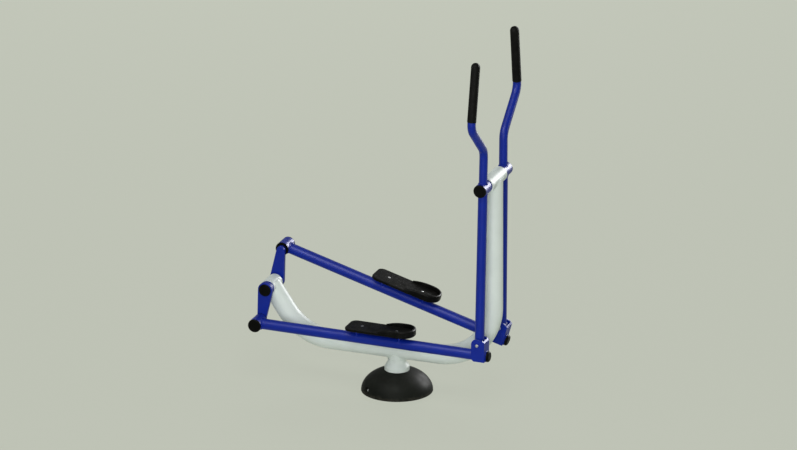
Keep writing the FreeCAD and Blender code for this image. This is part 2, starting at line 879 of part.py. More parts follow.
def crank_fasteners():
    thread_r = size.crank_thread_d / 2
    nut = hex_nut("crank_nut", size.crank_nut_flats, thread_r + size.press_gap,
                  crank_outer - size.crank_sink, size.crank_nut)
    nut.Placement = lateral(HUB.x, HUB.z, 1)
    group("crank_nuts", [nut, mirror(nut)])
    roots = []
    for name, side in SIDES:
        root = new_body(name + "_pin_root")
        stud = new_sketch(root, "XY_Plane", crank_inner)
        circle(stud, thread_r)
        pad(root, stud, size.crank_thick)
        pin = rest_pose(side).pin
        root.Placement = lateral(pin.x, pin.z, side, crank_direction(side))
        roots.append(root)
    group("crank_pin_roots", roots)


# Bosses, bearings and caps on arms and bars


def boss(label, inner, place):
    body = ring(label, boss_r, boss_bore, inner + size.seal_flange, boss_outer)
    body.Placement = place
    keep(body)


def boss_bearings(label, inner, place):
    pair = []
    first = inner + size.boss_bearing_inset
    for end, low in (("inner", first), ("outer", outer_bearing_end - size.boss_bearing_width)):
        bearing = ring(label + "_" + end, size.boss_bearing_d / 2, shaft_r + size.running_fit,
                       low, low + size.boss_bearing_width)
        bearing.Placement = place
        pair.append(bearing)
    group(label, pair)


def boss_cap(label, inner, place):
    """The cap on the outer end of a boss and the dust seal round the shaft at its inner end."""
    spigot_r = boss_bore - size.press_gap
    top = boss_outer + size.boss_cap_rise
    inside = boss_outer + size.boss_cap_rise / 3
    cap = turned(label + "_head", [
        (spigot_r - size.cap_wall, boss_outer - size.boss_cap_spigot),
        (spigot_r, boss_outer - size.boss_cap_spigot), (spigot_r, boss_outer),
        (boss_r, boss_outer), (boss_r, top), (0, top),
        (0, inside), (spigot_r - size.cap_wall, inside)])
    dress(cap, "Fillet", size.boss_cap_edge, rim(boss_r, top))
    bore = shaft_r + size.seal_room
    flange = inner + size.seal_flange
    seal = turned(label + "_seal", [
        (bore, inner), (boss_r, inner), (boss_r, flange), (spigot_r, flange),
        (spigot_r, flange + size.seal_spigot), (bore, flange + size.seal_spigot)])
    for piece in (cap, seal):
        piece.Placement = place
    group(label, [cap, seal])


# Swing arms and handles


def swing_arm(name, side):
    body = new_body(name + "_swing_arm")
    sketch = new_sketch(body, "XY_Plane")
    circle(sketch, size.arm_tube_d / 2)
    circle(sketch, size.arm_tube_d / 2 - size.arm_tube_wall)
    pad(body, sketch, size.arm_length, flip=True)
    for height, radius in ((as_dim(0), boss_r), (-size.arm_length, size.lower_bush_d / 2)):
        drill(body, "XZ_Plane", radius + size.weld_gap, 0, height, -size.boss_d, size.boss_d * 2)
    body.Placement = arm_frame(side)
    keep(body)


def lower_bush(name, side):
    """The cross bush at the foot of the arm, with its plastic liner."""
    half = size.bar_d / 2 + size.fork_room - size.bush_side_room
    liner_r = size.fork_bolt_d / 2 + size.liner_wall
    fork = rest_pose(side).fork
    for label, outer, inner in (
            ("_lower_bush", size.lower_bush_d / 2, liner_r + size.press_gap),
            ("_bush_liner", liner_r, size.fork_bolt_d / 2 + size.running_fit)):
        body = ring(name + label, outer, inner, size.side_plane - half, size.side_plane + half)
        body.Placement = lateral(fork.x, fork.z, side)
        keep(body)


def handle_corners():
    return [(as_dim(0), as_dim(0)), (as_dim(0), size.handle_straight),
            (size.handle_spread, size.handle_elbow),
            (size.handle_spread - size.handle_tuck, size.handle_top - size.grip_end)]


def handle(name, side):
    body = bent_tube(name + "_handle", "YZ_Plane", handle_corners(), size.handle_bend,
                     size.handle_d, size.handle_wall, as_dim(0), as_dim(0))
    drill(body, "XZ_Plane", boss_r + size.weld_gap, 0, 0, -size.boss_d, size.boss_d * 2)
    body.Placement = arm_frame(side)
    keep(body)


def grip(name, side):
    """The closed sleeve over the last straight of the handle."""
    first, elbow, end = [Vector(0, y.value, z.value) for y, z in handle_corners()[1:]]
    leg = end - elbow
    turn = (elbow - first).getAngle(leg)
    low = as_dim(size.handle_bend.value * math.tan(turn / 2))
    tube_end = as_dim(leg.Length)
    top = tube_end + size.grip_end
    bore = size.handle_d / 2 + size.press_gap
    outer = bore + size.grip_wall
    body = turned(name + "_grip", [
        (bore, low), (outer, low), (outer, top), (0, top), (0, tube_end), (bore, tube_end)])
    dress(body, "Fillet", size.grip_round, rim(outer, top))
    dress(body, "Fillet", size.grip_edge, rim(outer, low))
    along = frame_of(elbow, Vector(1, 0, 0), leg.normalize())
    body.Placement = arm_frame(side).multiply(along)
    keep(body)


def arm(name, side):
    place = lateral(TOP_PIVOT.x, TOP_PIVOT.z, side)
    swing_arm(name, side)
    lower_bush(name, side)
    handle(name, side)
    grip(name, side)
    boss(name + "_arm_boss", arm_boss_inner, place)
    boss_bearings(name + "_arm_bearings", arm_boss_inner, place)
    boss_cap(name + "_arm_cap", arm_boss_inner, place)


# Pedal bars and forks


def saddle_centres():
    first = size.pedal_start + size.saddle_start
    return first, first + size.saddle_pitch


def pedal_bar(name, side):
    body = new_body(name + "_pedal_bar")
    sketch = new_sketch(body, "YZ_Plane")
    circle(sketch, size.bar_d / 2)
    circle(sketch, size.bar_d / 2 - size.bar_wall)
    pad(body, sketch, size.bar_length + size.bar_overhang)
    drill(body, "XZ_Plane", boss_r + size.weld_gap, 0, 0, -size.boss_d, size.boss_d * 2)
    body.Placement = bar_frame(side)
    keep(body)


def bar_plug(name, side):
    spigot_r = size.bar_d / 2 - size.bar_wall - size.press_gap
    end = size.bar_length + size.bar_overhang
    body = turned(name + "_bar_plug", [
        (0, -size.plug_spigot), (spigot_r, -size.plug_spigot), (spigot_r, 0),
        (size.plug_d / 2, 0), (size.plug_d / 2, size.plug_head), (0, size.plug_head)])
    dress(body, "Fillet", size.plug_round, rim(size.plug_d / 2, size.plug_head))
    place = bar_frame(side, end.value)
    body.Placement = place.multiply(Placement(Vector(), Rotation(Vector(0, 1, 0), 90)))
    keep(body)


def fork_half():
    return size.bar_d / 2 + size.fork_room + size.fork_plate


def fork(name, side):
    """Two plates and a front web that straddle the bar and hold the arm's lower bush."""
    body = new_body(name + "_fork")
    half = fork_half()
    top = size.fork_rise + size.fork_lobe
    front = size.fork_ahead + size.fork_web
    shoulder = size.fork_rise + size.fork_front_rise
    sketch = new_sketch(body, "XZ_Plane", -half)
    outline(sketch, [
        (-size.fork_lobe, size.fork_chamfer - size.fork_drop),
        (size.fork_chamfer - size.fork_lobe, -size.fork_drop),
        (front, -size.fork_drop), (front, shoulder - size.fork_bevel),
        (front - size.fork_bevel, shoulder), (0, top), (-size.fork_lobe, top)])
    pad(body, sketch, half * 2)
    dress(body, "Fillet", size.fork_lobe_round, crosswise_at(-size.fork_lobe, top))

    def on_outer_face(edge):
        box = edge.BoundBox
        return box.YLength < TOLERANCE and abs(abs(box.YMin) - half.value) < TOLERANCE
    dress(body, "Fillet", size.fork_edge, on_outer_face)

    room = size.bar_d / 2 + size.fork_room
    gap = new_sketch(body, "XZ_Plane", -room)
    outline(gap, [(-front, -size.fork_rise), (size.fork_ahead, -size.fork_rise),
                  (size.fork_ahead, top * 2), (-front, top * 2)])
    pocket(body, gap, room * 2, flip=True)
    drill(body, "YZ_Plane", size.bar_d / 2 + size.weld_gap, 0, 0, 0, front * 2)
    drill(body, "XZ_Plane", size.fork_bolt_d / 2 + size.press_gap, 0, size.fork_rise,
          -half * 2, half * 4)
    body.Placement = bar_frame(side, size.bar_length.value)
    keep(body)


def fork_bolt(name, side):
    outer = size.side_plane + fork_half()
    inner = size.side_plane - fork_half()
    shank_r = size.fork_bolt_d / 2
    head_r = size.fork_bolt_head_d / 2
    tip = inner - size.fork_nut
    top = outer + size.fork_bolt_head
    bolt = turned(name + "_pivot_bolt", [
        (0, tip), (shank_r, tip), (shank_r, outer), (head_r, outer), (head_r, top), (0, top)])
    dress(bolt, "Fillet", size.fork_bolt_dome, rim(head_r, top))
    nut = hex_nut(name + "_pivot_nut", size.fork_nut_flats, shank_r + size.press_gap,
                  inner - size.fork_nut, size.fork_nut)
    pivot = rest_pose(side).fork
    for piece in (bolt, nut):
        piece.Placement = lateral(pivot.x, pivot.z, side)
    group(name + "_fork_bolt", [bolt, nut])


def crank_pin(name, place):
    """The pin in the bar's bearings; it stops just short of the crank arm."""
    low = crank_outer + size.pin_gap
    head_r = size.pin_head_d / 2
    body = turned(name + "_crank_pin", [
        (0, low), (shaft_r, low), (shaft_r, outer_bearing_end), (head_r, outer_bearing_end),
        (head_r, outer_bearing_end + size.pin_head), (0, outer_bearing_end + size.pin_head)])
    body.Placement = place
    keep(body)


# Pedals


def upright_at(x):
    """Picks the edges that stand square to the pedal's plate at that distance."""
    x = as_dim(x).value

    def wanted(edge):
        box = edge.BoundBox
        stands = box.XLength + box.YLength < TOLERANCE < box.ZLength
        return stands and abs(box.XMin - x) < TOLERANCE
    return wanted


def toe_side(sketch):
    """The toe cup from the side: its rim leaves the plate in one long curve."""
    back = size.pedal_length - size.toe_length
    low = size.pedal_thick + size.toe_step
    top = size.pedal_thick + size.toe_rise
    crest = back + size.toe_ramp
    corners = [(as_dim(x), as_dim(z)) for x, z in (
        (back, low), (back, 0), (size.pedal_length, 0), (size.pedal_length, top), (crest, top))]
    lines = draw_lines(sketch, corners)
    pin_point(sketch, lines[-1], 2, *corners[-1])
    climb = (top - low).value
    ramp = size.toe_ramp.value
    radius = (ramp ** 2 + climb ** 2) / (2 * climb)
    centre = Vector(crest.value, top.value - radius, 0)
    foot = math.atan2(radius - climb, -ramp)
    curve = Part.ArcOfCircle(Part.Circle(centre, Vector(0, 0, 1), radius), math.pi / 2, foot)
    arc = sketch.addGeometry(curve)
    sketch.addConstraint(Sketcher.Constraint("Tangent", lines[-1], 2, arc, 1))
    sketch.addConstraint(Sketcher.Constraint("Coincident", arc, 2, lines[0], 1))


def toe_hollow(sketch):
    """The room for the toes: open to the heel, with round corners in front."""
    half = size.pedal_width / 2 - size.toe_wall
    back = size.pedal_length - size.toe_length - size.toe_wall
    front = size.pedal_length - size.toe_wall
    corners = [(back, -half), (front, -half), (front, half), (back, half)]
    bent_line(sketch, corners, size.toe_round - size.toe_wall)
    (back_x, right_y), (_, left_y) = corners[0], corners[-1]
    ends = Vector(back_x.value, left_y.value, 0), Vector(back_x.value, right_y.value, 0)
    lines = [index for index, shape in enumerate(sketch.Geometry)
             if isinstance(shape, Part.LineSegment)]
    mouth = sketch.addGeometry(Part.LineSegment(*ends))
    sketch.addConstraint(Sketcher.Constraint("Coincident", lines[-1], 2, mouth, 1))
    sketch.addConstraint(Sketcher.Constraint("Coincident", mouth, 2, lines[0], 1))


def pedal_underside(body):
    """Two hollow cells between the pads of the saddles, and the stepped bolt holes."""
    wall = size.pedal_width / 2 - size.pedal_rib - size.sole_edge
    pad_half = size.saddle_tail + size.pedal_rib
    first, second = size.saddle_start, size.saddle_start + size.saddle_pitch
    middle = (first + second) / 2
    rib_half = size.pedal_rib / 2
    for start, end in ((first + pad_half, middle - rib_half), (middle + rib_half, second - pad_half)):
        cell = new_sketch(body, "XY_Plane")
        outline(cell, [(start, -wall), (end, -wall), (end, wall), (start, wall)])
        pocket(body, cell, size.pedal_thick - size.pedal_skin, flip=True)
    seat = size.pedal_thick - size.pedal_bolt_head
    for centre in (first, second):
        drill(body, "XY_Plane", size.pedal_bolt_d / 2 + size.press_gap, centre, 0, 0,
              size.pedal_thick)
        drill(body, "XY_Plane", size.pedal_bolt_head_d / 2 + size.press_gap, centre, 0, seat,
              size.pedal_thick)


def pedal(name, side):
    """A moulded plate with a raised cup round the toes and a ribbed hollow underside."""
    body = new_body(name + "_pedal")
    half = size.pedal_width / 2
    plate_end = size.pedal_length - size.toe_length / 2
    plate = new_sketch(body, "XY_Plane")
    outline(plate, [(0, -half), (plate_end, -half), (plate_end, half), (0, half)])
    pad(body, plate, size.pedal_thick)
    dress(body, "Fillet", size.heel_round, upright_at(0))
    deck = size.pedal_thick.value

    def deck_edge(edge):
        return edge.BoundBox.ZMin > deck - TOLERANCE and edge.BoundBox.XMin < plate_end.value - TOLERANCE
    dress(body, "Fillet", size.pedal_edge, deck_edge)

    cup = new_sketch(body, "XZ_Plane", -half)
    toe_side(cup)
    pad(body, cup, size.pedal_width)
    dress(body, "Fillet", size.toe_round, upright_at(size.pedal_length))
    hollow = new_sketch(body, "XY_Plane", size.pedal_thick)
    toe_hollow(hollow)
    pocket(body, hollow, size.toe_rise, flip=True)
    rim_top = deck + size.toe_rise.value
    rim_middle = (half - size.toe_wall / 2).value

    def rim_edge(outer):
        def wanted(edge):
            box = edge.BoundBox
            on_rim = box.ZMin > rim_top - TOLERANCE and box.XLength > TOLERANCE
            return on_rim and (max(-box.YMin, box.YMax) > rim_middle) == outer
        return wanted
    dress(body, "Fillet", size.toe_rim_edge, rim_edge(False))
    dress(body, "Fillet", size.toe_rim_round, rim_edge(True))
    dress(body, "Fillet", size.sole_edge, lambda edge: edge.BoundBox.ZMax < TOLERANCE)
    pedal_underside(body)
    under = size.pedal_top - size.pedal_thick
    body.Placement = bar_frame(side, size.pedal_start.value, under.value)
    keep(body)


def pedal_saddles(name, side):
    """Two angle brackets, welded across the bar, whose flanges point to each other."""
    half = size.saddle_width / 2
    under = size.pedal_top - size.pedal_thick
    ledge = under - size.saddle_plate
    brackets = []
    for end, centre, outwards in zip(("heel", "toe"), saddle_centres(), (-1, 1)):
        body = new_body("%s_%s_bracket" % (name, end))
        leg = centre + size.saddle_back * outwards
        inside = leg - size.saddle_plate * outwards
        tail = centre - size.saddle_tail * outwards
        sketch = new_sketch(body, "XZ_Plane", -half)
        outline(sketch, [(leg, 0), (leg, under), (tail, under), (tail, ledge), (inside, ledge),
                         (inside, 0)])
        pad(body, sketch, size.saddle_width)
        dress(body, "Fillet", size.saddle_plate, crosswise_at(leg, under))
        drill(body, "YZ_Plane", size.bar_d / 2 + size.weld_gap, 0, 0, 0, size.bar_length)
        drill(body, "XY_Plane", size.pedal_bolt_d / 2 + size.press_gap, centre, 0, 0, under * 2)
        body.Placement = bar_frame(side)
        brackets.append(body)
    group(name + "_pedal_saddles", brackets)


def pedal_bolts(name, side):
    """The bolts through the pedal and its brackets, with their nuts below."""
    shank_r = size.pedal_bolt_d / 2
    head_r = size.pedal_bolt_head_d / 2
    seat = size.pedal_top - size.pedal_bolt_head
    top = size.pedal_top - size.weld_gap
    nut_low = size.pedal_top - size.pedal_thick - size.saddle_plate - size.pedal_nut
    tip = nut_low - size.pedal_bolt_tail
    pieces = []
    for number, centre in enumerate(saddle_centres(), 1):
        bolt = turned("%s_pedal_bolt_%d" % (name, number), [
            (0, tip), (shank_r, tip), (shank_r, seat), (head_r, seat), (head_r, top), (0, top)])
        dress(bolt, "Fillet", size.pedal_bolt_dome, rim(head_r, top))
        nut = hex_nut("%s_pedal_nut_%d" % (name, number), size.pedal_nut_flats,
                      shank_r + size.press_gap, nut_low, size.pedal_nut)
        for piece in (bolt, nut):
            piece.Placement = bar_frame(side, centre.value)
            pieces.append(piece)
    group(name + "_pedal_bolts", pieces)


def bar(name, side):
    pin = rest_pose(side).pin
    place = lateral(pin.x, pin.z, side)
    pedal_bar(name, side)
    boss(name + "_bar_boss", bar_boss_inner, place)
    boss_bearings(name + "_bar_bearings", bar_boss_inner, place)
    boss_cap(name + "_bar_cap", bar_boss_inner, place)
    crank_pin(name, place)
    bar_plug(name, side)
    fork(name, side)
    fork_bolt(name, side)
    pedal(name, side)
    pedal_saddles(name, side)
    pedal_bolts(name, side)


# The whole trainer


def build():
    frame_tubes()
    pivot_shaft()
    hub_bearings()
    pedestal_post()
    pedestal_collar()
    base_flange()
    base_gussets()
    base_cover()
    crank_shaft()
    crank_cap()
    crank_fasteners()
    for name, side in SIDES:
        crank_arm(name, side)
        arm(name, side)
        bar(name, side)
    doc.recompute()


def check_and_write():
    for item in doc.Objects:
        if {"Invalid", "Error"} & set(item.State):
            raise RuntimeError("%s failed: %s" % (item.Label, item.State))
    for node in nodes:
        if node.Shape.isNull() or not node.Shape.isValid():
            raise RuntimeError("%s has no valid shape" % node.Label)
    os.makedirs("parts", exist_ok=True)
    for node in nodes:
        node.Shape.exportStep("parts/%s.step" % node.Label)
    print("wrote %d nodes" % len(nodes))


build()
check_and_write()
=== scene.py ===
"""Outdoor elliptical cross trainer: paint, plastics, weld beads, bolts and pedal treads.

Metres, in the frame of the part: the origin is on the ground at the centre of the base,
+X points forward to the handles, +Y to the user's left and +Z up.
"""
import json
import math
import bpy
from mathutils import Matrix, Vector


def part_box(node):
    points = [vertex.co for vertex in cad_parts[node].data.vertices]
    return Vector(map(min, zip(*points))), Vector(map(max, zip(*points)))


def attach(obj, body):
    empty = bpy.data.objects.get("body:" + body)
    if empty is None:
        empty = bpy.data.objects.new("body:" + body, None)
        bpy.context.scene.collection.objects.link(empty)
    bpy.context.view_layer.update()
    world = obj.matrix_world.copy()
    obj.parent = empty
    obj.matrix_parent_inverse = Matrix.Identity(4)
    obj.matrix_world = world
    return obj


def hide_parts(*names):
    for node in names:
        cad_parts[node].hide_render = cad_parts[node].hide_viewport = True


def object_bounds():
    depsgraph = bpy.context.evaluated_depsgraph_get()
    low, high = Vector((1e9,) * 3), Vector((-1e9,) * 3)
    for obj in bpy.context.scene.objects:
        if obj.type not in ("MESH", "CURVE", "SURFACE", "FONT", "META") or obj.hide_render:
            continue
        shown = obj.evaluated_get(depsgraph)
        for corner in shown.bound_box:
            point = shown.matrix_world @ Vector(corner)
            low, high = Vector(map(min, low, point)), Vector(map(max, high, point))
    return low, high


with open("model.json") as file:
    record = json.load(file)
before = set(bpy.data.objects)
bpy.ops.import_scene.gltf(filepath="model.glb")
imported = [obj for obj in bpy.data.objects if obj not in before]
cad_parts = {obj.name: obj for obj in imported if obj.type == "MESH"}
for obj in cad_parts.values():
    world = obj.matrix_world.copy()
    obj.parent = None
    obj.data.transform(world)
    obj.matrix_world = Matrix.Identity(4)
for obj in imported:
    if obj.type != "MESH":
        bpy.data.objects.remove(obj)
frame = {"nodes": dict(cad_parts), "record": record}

from types import SimpleNamespace

import bmesh
import bpy
from mathutils import Matrix, Vector

CAD_LOW, CAD_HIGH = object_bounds()
MM = 0.001
SIDES = (("left", 1), ("right", -1))
ACROSS = Vector((0, 1, 0))
FORWARD = Vector((1, 0, 0))
UP = Vector((0, 0, 1))

# Tubes and bosses, by their outer radius
MAIN_R = 44.45 * MM
PIVOT_TUBE_R = 35 * MM
HUB_TUBE_R = 35 * MM
COLLAR_NECK_R = 40.75 * MM
BOSS_R = 30.15 * MM
ARM_R = 21.2 * MM
BUSH_R = 24.15 * MM
HANDLE_R = 19 * MM
BAR_R = 24.15 * MM

# Main tube, with the plates that close its ends
RAIL_HEIGHT = 196 * MM
RISER_SLOPE = math.radians(55.5)
END_PLATE = 5 * MM

# Pedal bars and forks: a bar's length starts at its crank pin, and heights at its axis
BAR_LENGTH = 1056 * MM
FORK_RISE = 56 * MM
FORK_FRONT = 34 * MM
FORK_HALF = 31.65 * MM

# Pedals: the heel's place on the bar, and the bolts' places from the heel
PEDAL_START = 430 * MM
PEDAL_TOP = 58.5 * MM
PEDAL_THICK = 14 * MM
PEDAL_HALF = 60 * MM
HEEL_ROUND = 28 * MM
BOLT_PLACES = (68 * MM, 232 * MM)
BRACKET_PLATE = 6 * MM


def centre(node):
    low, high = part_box(node)
    return (low + high) / 2


# Finishes

# A Mix node names its sockets for numbers and for colours alike, so colours go by place
MIX_FIRST = 6
MIX_SECOND = 7
MIX_RESULT = 2

# Noise keeps mostly between these two values
NOISE_SPAN = (0.3, 0.7)


class Finish:
    """A material that is put together node by node, on the part's own coordinates."""

    def __init__(self, name):
        self.name = name
        self.material = bpy.data.materials.new(name)
        self.material.use_nodes = True
        self.tree = self.material.node_tree
        self.shader = self.tree.nodes["Principled BSDF"]
        self.place = self.add("ShaderNodeTexCoord").outputs["Object"]

    def add(self, kind, **settings):
        node = self.tree.nodes.new(kind)
        for name, value in settings.items():
            setattr(node, name, value)
        return node

    def join(self, source, target):
        self.tree.links.new(source, target)

    def set(self, **sockets):
        for name, value in sockets.items():
            self.shader.inputs[name.replace("_", " ")].default_value = value

    def stretched(self, stretch):
        mapping = self.add("ShaderNodeMapping")
        mapping.inputs["Scale"].default_value = stretch
        self.join(self.place, mapping.inputs["Vector"])
        return mapping.outputs["Vector"]

    def noise(self, scale, detail=2.0, roughness=0.5, stretch=None):
        node = self.add("ShaderNodeTexNoise")
        node.inputs["Scale"].default_value = scale
        node.inputs["Detail"].default_value = detail
        node.inputs["Roughness"].default_value = roughness
        self.join(self.stretched(stretch) if stretch else self.place, node.inputs["Vector"])
        return node.outputs["Fac"]

    def cells(self, scale, output="Distance"):
        node = self.add("ShaderNodeTexVoronoi")
        node.inputs["Scale"].default_value = scale
        self.join(self.place, node.inputs["Vector"])
        return node.outputs[output]

    def ramp(self, value, low, high, from_value=0.0, to_value=1.0):
        """A smooth step from one value to another, as the input goes from low to high."""
        node = self.add("ShaderNodeMapRange", interpolation_type="SMOOTHSTEP")
        settings = {"From Min": low, "From Max": high, "To Min": from_value, "To Max": to_value}
        for name, number in settings.items():
            node.inputs[name].default_value = number
        self.join(value, node.inputs["Value"])
        return node.outputs["Result"]

    def maths(self, operation, first, second):
        node = self.add("ShaderNodeMath", operation=operation)
        for socket, value in zip(node.inputs, (first, second)):
            if isinstance(value, (int, float)):
                socket.default_value = value
            else:
                self.join(value, socket)
        return node.outputs["Value"]

    def blend(self, share, first, second):
        """The first colour where the share is 0, the second where it is 1."""
        node = self.add("ShaderNodeMix", data_type="RGBA")
        self.join(share, node.inputs["Factor"])
        for number, colour in ((MIX_FIRST, first), (MIX_SECOND, second)):
            socket = node.inputs[number]
            if isinstance(colour, tuple):
                socket.default_value = (*colour, 1)
            else:
                self.join(colour, socket)
        return node.outputs[MIX_RESULT]

    def upright_part(self, vector):
        parts = self.add("ShaderNodeSeparateXYZ")
        self.join(vector, parts.inputs["Vector"])
        return parts.outputs["Z"]

    def facing_up(self, low, high):
        """1 where the surface faces up, 0 where it doesn't."""
        normal = self.add("ShaderNodeNewGeometry").outputs["Normal"]
        return self.ramp(self.upright_part(normal), low, high)

    def height(self, low, high):
        """0 below low and 1 above high."""
        return self.ramp(self.upright_part(self.place), low, high)

    def dusted(self, tone, dust, amount, patches, facing):
        """The tone with dust in patches, where the surface faces up."""
        film = self.maths("MULTIPLY", self.facing_up(*facing), patches)
        return self.blend(self.maths("MULTIPLY", film, amount), tone, dust)

    def colour(self, source):
        self.join(source, self.shader.inputs["Base Color"])

    def roughness(self, patches, low, high, span=NOISE_SPAN):
        """Roughness that wanders from low to high over the patches."""
        self.join(self.ramp(patches, *span, low, high), self.shader.inputs["Roughness"])

    def relief(self, *layers):
        """Bump layers, each a height, its depth in metres and its strength."""
        before = None
        for source, depth, strength in layers:
            node = self.add("ShaderNodeBump")
            node.inputs["Distance"].default_value = depth
            node.inputs["Strength"].default_value = strength
            self.join(source, node.inputs["Height"])
            if before is not None:
                self.join(before, node.inputs["Normal"])
            before = node.outputs["Normal"]
        self.join(before, self.shader.inputs["Normal"])


def powder_coat(name, colour, deep, dust, dusty, chip, shine):
    """Sprayed powder paint: slight mottle, orange peel, dust on top and a few chips."""
    paint = Finish(name)
    mottle = paint.ramp(paint.noise(scale=14, detail=4), low=0.35, high=0.65)
    tone = paint.blend(mottle, deep, colour)
    patches = paint.noise(scale=45, detail=5, roughness=0.6)
    tone = paint.dusted(tone, dust, dusty, patches, facing=(0.35, 0.95))
    nicks = paint.ramp(paint.noise(scale=160, detail=3, roughness=0.7), low=0.765, high=0.785)
    paint.colour(paint.blend(nicks, tone, chip))
    paint.roughness(paint.noise(scale=12, detail=1), shine - 0.02, shine + 0.02)
    peel = paint.noise(scale=620, detail=1)
    paint.relief((peel, 0.1 * MM, 0.04), (nicks, -0.1 * MM, 0.1))
    paint.set(Specular_IOR_Level=0.2)
    return paint


def moulded_plastic(name, colour, worn, dust, dusty, grain, shine):
    """Black plastic with a fine moulded grain, rubbed paler in patches and dusty on top."""
    plastic = Finish(name)
    rubbed = plastic.ramp(plastic.noise(scale=22, detail=5, roughness=0.6), low=0.42, high=0.72)
    tone = plastic.blend(rubbed, colour, worn)
    patches = plastic.noise(scale=60, detail=4, roughness=0.65)
    plastic.colour(plastic.dusted(tone, dust, dusty, patches, facing=(0.5, 1.0)))
    plastic.roughness(plastic.noise(scale=35, detail=4), shine - 0.06, shine + 0.1)
    pebbles = plastic.cells(scale=grain)
    swells = plastic.noise(scale=grain / 3)
    plastic.relief((pebbles, 0.3 * MM, 0.22), (swells, 0.3 * MM, 0.1))
    plastic.set(Specular_IOR_Level=0.05)
    return plastic


def domed_cover(name, colour, worn, dust, dusty, earth):
    """Satin black moulded cover, with earth splashed up from the ground."""
    cover = Finish(name)
    faded = cover.ramp(cover.noise(scale=9, detail=5), low=0.35, high=0.7)
    tone = cover.blend(faded, colour, worn)
    spots = cover.noise(scale=55, detail=6, roughness=0.7)
    splash = cover.maths("SUBTRACT", spots, cover.height(low=0.0, high=55 * MM))
    splash = cover.ramp(splash, low=0.25, high=0.6, to_value=0.35)
    tone = cover.blend(splash, tone, earth)
    patches = cover.noise(scale=38, detail=5, roughness=0.6)
    cover.colour(cover.dusted(tone, dust, dusty, patches, facing=(0.4, 1.0)))
    cover.roughness(cover.noise(scale=26, detail=4), low=0.42, high=0.56)
    pebbles = cover.cells(scale=900)
    swells = cover.noise(scale=240)
    cover.relief((pebbles, 0.4 * MM, 0.25), (swells, 0.4 * MM, 0.08))
    cover.set(Specular_IOR_Level=0.033)
    return cover


def foam_rubber(name, colour, worn, pore_shade):
    """Dense foam rubber: fine open cells with painted shade in them, dull, a little polished in
    patches.
    """
    rubber = Finish(name)
    rubbed = rubber.ramp(rubber.noise(scale=28, detail=5, roughness=0.6), low=0.35, high=0.7)
    tone = rubber.blend(rubbed, colour, worn)
    pores_and_shade = rubber.ramp(rubber.cells(scale=1500), low=0.05, high=0.45)
    # Painted shade: the pores are coloured darker than the rubber, standing in for shade in the open
    # cells
    rubber.colour(rubber.blend(pores_and_shade, pore_shade, tone))
    rubber.roughness(rubber.noise(scale=40, detail=4), low=0.5, high=0.72)
    creases = rubber.noise(scale=420, detail=3)
    rubber.relief((pores_and_shade, 0.3 * MM, 0.35), (creases, 0.4 * MM, 0.25))
    rubber.set(Specular_IOR_Level=0.07)
    return rubber


def bright_steel(name, colour, stain, shine, streak):
    """Plain steel with fine machining lines and a little tarnish."""
    steel = Finish(name)
    lines = steel.noise(scale=260, detail=3, roughness=0.6, stretch=streak)
    tarnish = steel.ramp(steel.noise(scale=70, detail=5, roughness=0.65), low=0.45, high=0.75)
    steel.colour(steel.blend(tarnish, colour, stain))
    steel.roughness(lines, shine - 0.06, shine + 0.12, span=(0.25, 0.75))
    steel.relief((lines, 0.1 * MM, 0.2))
    steel.set(Metallic=1.0)
    return steel


def dipped_zinc(name, dark, bright, chalky):
    """Hot-dip zinc, with its spangle and chalky patches."""
    zinc = Finish(name)
    to_grey = zinc.add("ShaderNodeRGBToBW")
    zinc.join(zinc.cells(scale=110, output="Color"), to_grey.inputs["Color"])
    spangle = to_grey.outputs["Val"]
    tone = zinc.blend(spangle, dark, bright)
    patches = zinc.noise(scale=40, detail=5, roughness=0.65)
    chalk = zinc.ramp(patches, low=0.5, high=0.8, to_value=0.5)
    zinc.colour(zinc.blend(chalk, tone, chalky))
    zinc.roughness(spangle, low=0.38, high=0.6, span=(0.2, 0.8))
    zinc.relief((zinc.noise(scale=300, detail=3), 0.3 * MM, 0.2))
    zinc.set(Metallic=0.85)
    return zinc


def pale_nylon(name, colour, pale):
    """Turned nylon, which lets a little light into its surface."""
    nylon = Finish(name)
    nylon.colour(nylon.blend(nylon.noise(scale=60, detail=3), colour, pale))
    nylon.roughness(nylon.noise(scale=90, detail=3), low=0.4, high=0.52)
    nylon.relief((nylon.noise(scale=500), 0.2 * MM, 0.15))
    nylon.set(Subsurface_Weight=0.1, Subsurface_Scale=4 * MM)
    return nylon


